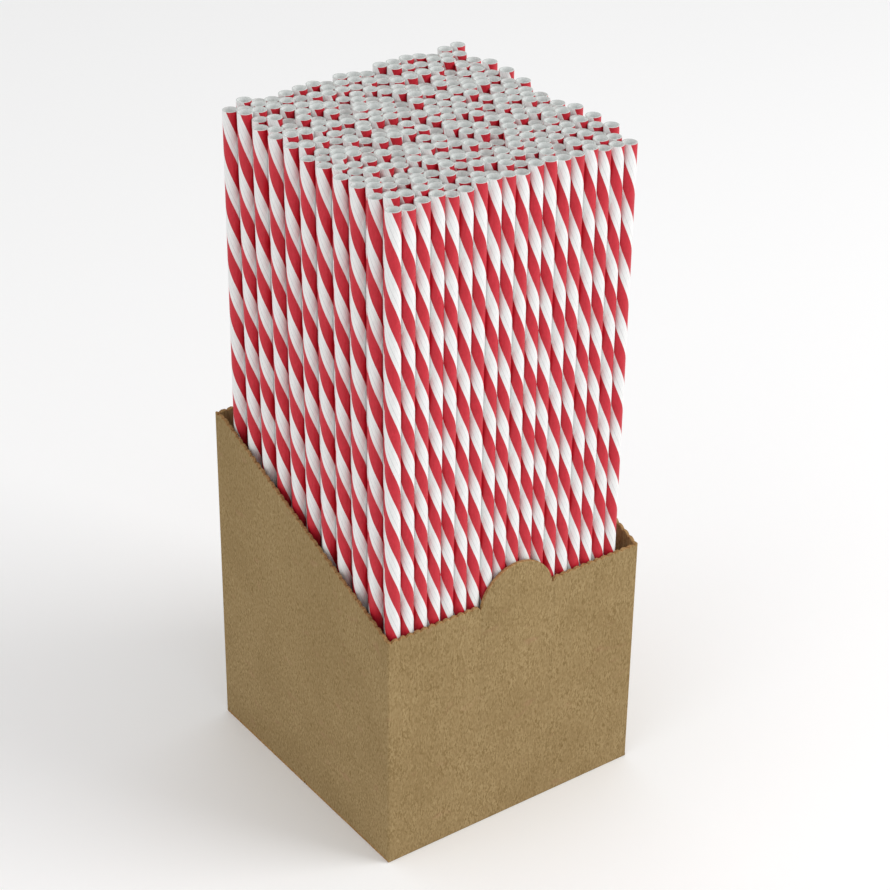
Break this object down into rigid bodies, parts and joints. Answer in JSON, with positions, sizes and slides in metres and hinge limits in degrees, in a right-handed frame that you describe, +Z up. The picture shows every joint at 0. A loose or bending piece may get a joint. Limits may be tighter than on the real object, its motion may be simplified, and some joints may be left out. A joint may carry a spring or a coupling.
{
  "type": "drinking straw dispenser carton",
  "caption": "Open-topped kraft board counter carton with a sloping torn perforated edge and a thumb tab, packed with upright red and white spiral-striped paper straws.",
  "frame": {"origin": "middle of the carton's base, on the surface it stands on", "axes": "+Z up along the straws, -Y towards the front with the thumb tab, +X to the right as seen from the front"},
  "size_m": [0.115, 0.116, 0.2694],
  "materials": {
    "kraft_board": "uncoated brown kraft board, fibrous and matt",
    "striped_paper": "matt white paper with a red spiral stripe, grey-white inside and on the cut ends"
  },
  "bodies": {
    "carton": {"front_panel": "kraft_board", "back_panel": "kraft_board", "left_side_panel": "kraft_board", "right_side_panel": "kraft_board", "glue_flap": "kraft_board", "bottom_flap_front": "kraft_board", "bottom_flap_back": "kraft_board", "dust_flap_left": "kraft_board", "dust_flap_right": "kraft_board"},
    "loose_straw_1": {"loose_straw_1": "striped_paper"},
    "loose_straw_2": {"loose_straw_2": "striped_paper"},
    "loose_straw_3": {"loose_straw_3": "striped_paper"},
    "loose_straw_4": {"loose_straw_4": "striped_paper"},
    "loose_straw_5": {"loose_straw_5": "striped_paper"},
    "loose_straw_6": {"loose_straw_6": "striped_paper"},
    "loose_straw_7": {"loose_straw_7": "striped_paper"},
    "loose_straw_8": {"loose_straw_8": "striped_paper"},
    "loose_straw_9": {"loose_straw_9": "striped_paper"},
    "straw_row_01": {"straw_row_01": "striped_paper"},
    "straw_row_02": {"straw_row_02": "striped_paper"},
    "straw_row_03": {"straw_row_03": "striped_paper"},
    "straw_row_04": {"straw_row_04": "striped_paper"},
    "straw_row_05": {"straw_row_05": "striped_paper"},
    "straw_row_06": {"straw_row_06": "striped_paper"},
    "straw_row_07": {"straw_row_07": "striped_paper"},
    "straw_row_08": {"straw_row_08": "striped_paper"},
    "straw_row_09": {"straw_row_09": "striped_paper"},
    "straw_row_10": {"straw_row_10": "striped_paper"},
    "straw_row_11": {"straw_row_11": "striped_paper"},
    "straw_row_12": {"straw_row_12": "striped_paper"},
    "straw_row_13": {"straw_row_13": "striped_paper"},
    "straw_row_14": {"straw_row_14": "striped_paper"},
    "straw_row_15": {"straw_row_15": "striped_paper"},
    "straw_row_16": {"straw_row_16": "striped_paper"},
    "straw_row_17": {"straw_row_17": "striped_paper"},
    "straw_row_18": {"straw_row_18": "striped_paper"},
    "straw_row_19": {"straw_row_19": "striped_paper"},
    "straw_row_20": {"straw_row_20": "striped_paper"},
    "straw_row_21": {"straw_row_21": "striped_paper"}
  },
  "joints": [
    {"name": "loose_straw_1_lift", "type": "slide", "parent": "carton", "child": "loose_straw_1", "axis": [0, 0, 1], "range_m": [0, 0.27]},
    {"name": "loose_straw_2_lift", "type": "slide", "parent": "carton", "child": "loose_straw_2", "axis": [0, 0, 1], "range_m": [0, 0.27]},
    {"name": "loose_straw_3_lift", "type": "slide", "parent": "carton", "child": "loose_straw_3", "axis": [0, 0, 1], "range_m": [0, 0.27]},
    {"name": "loose_straw_4_lift", "type": "slide", "parent": "carton", "child": "loose_straw_4", "axis": [0, 0, 1], "range_m": [0, 0.27]},
    {"name": "loose_straw_5_lift", "type": "slide", "parent": "carton", "child": "loose_straw_5", "axis": [0, 0, 1], "range_m": [0, 0.27]},
    {"name": "loose_straw_6_lift", "type": "slide", "parent": "carton", "child": "loose_straw_6", "axis": [0, 0, 1], "range_m": [0, 0.27]},
    {"name": "loose_straw_7_lift", "type": "slide", "parent": "carton", "child": "loose_straw_7", "axis": [0, 0, 1], "range_m": [0, 0.27]},
    {"name": "loose_straw_8_lift", "type": "slide", "parent": "carton", "child": "loose_straw_8", "axis": [0, 0, 1], "range_m": [0, 0.27]},
    {"name": "loose_straw_9_lift", "type": "slide", "parent": "carton", "child": "loose_straw_9", "axis": [0, 0, 1], "range_m": [0, 0.27]},
    {"name": "straw_row_01_lift", "type": "slide", "parent": "carton", "child": "straw_row_01", "axis": [0, 0, 1], "range_m": [0, 0.27]},
    {"name": "straw_row_02_lift", "type": "slide", "parent": "carton", "child": "straw_row_02", "axis": [0, 0, 1], "range_m": [0, 0.27]},
    {"name": "straw_row_03_lift", "type": "slide", "parent": "carton", "child": "straw_row_03", "axis": [0, 0, 1], "range_m": [0, 0.27]},
    {"name": "straw_row_04_lift", "type": "slide", "parent": "carton", "child": "straw_row_04", "axis": [0, 0, 1], "range_m": [0, 0.27]},
    {"name": "straw_row_05_lift", "type": "slide", "parent": "carton", "child": "straw_row_05", "axis": [0, 0, 1], "range_m": [0, 0.27]},
    {"name": "straw_row_06_lift", "type": "slide", "parent": "carton", "child": "straw_row_06", "axis": [0, 0, 1], "range_m": [0, 0.27]},
    {"name": "straw_row_07_lift", "type": "slide", "parent": "carton", "child": "straw_row_07", "axis": [0, 0, 1], "range_m": [0, 0.27]},
    {"name": "straw_row_08_lift", "type": "slide", "parent": "carton", "child": "straw_row_08", "axis": [0, 0, 1], "range_m": [0, 0.27]},
    {"name": "straw_row_09_lift", "type": "slide", "parent": "carton", "child": "straw_row_09", "axis": [0, 0, 1], "range_m": [0, 0.27]},
    {"name": "straw_row_10_lift", "type": "slide", "parent": "carton", "child": "straw_row_10", "axis": [0, 0, 1], "range_m": [0, 0.27]},
    {"name": "straw_row_11_lift", "type": "slide", "parent": "carton", "child": "straw_row_11", "axis": [0, 0, 1], "range_m": [0, 0.27]},
    {"name": "straw_row_12_lift", "type": "slide", "parent": "carton", "child": "straw_row_12", "axis": [0, 0, 1], "range_m": [0, 0.27]},
    {"name": "straw_row_13_lift", "type": "slide", "parent": "carton", "child": "straw_row_13", "axis": [0, 0, 1], "range_m": [0, 0.27]},
    {"name": "straw_row_14_lift", "type": "slide", "parent": "carton", "child": "straw_row_14", "axis": [0, 0, 1], "range_m": [0, 0.27]},
    {"name": "straw_row_15_lift", "type": "slide", "parent": "carton", "child": "straw_row_15", "axis": [0, 0, 1], "range_m": [0, 0.27]},
    {"name": "straw_row_16_lift", "type": "slide", "parent": "carton", "child": "straw_row_16", "axis": [0, 0, 1], "range_m": [0, 0.27]},
    {"name": "straw_row_17_lift", "type": "slide", "parent": "carton", "child": "straw_row_17", "axis": [0, 0, 1], "range_m": [0, 0.27]},
    {"name": "straw_row_18_lift", "type": "slide", "parent": "carton", "child": "straw_row_18", "axis": [0, 0, 1], "range_m": [0, 0.27]},
    {"name": "straw_row_19_lift", "type": "slide", "parent": "carton", "child": "straw_row_19", "axis": [0, 0, 1], "range_m": [0, 0.27]},
    {"name": "straw_row_20_lift", "type": "slide", "parent": "carton", "child": "straw_row_20", "axis": [0, 0, 1], "range_m": [0, 0.27]},
    {"name": "straw_row_21_lift", "type": "slide", "parent": "carton", "child": "straw_row_21", "axis": [0, 0, 1], "range_m": [0, 0.27]}
  ]
}
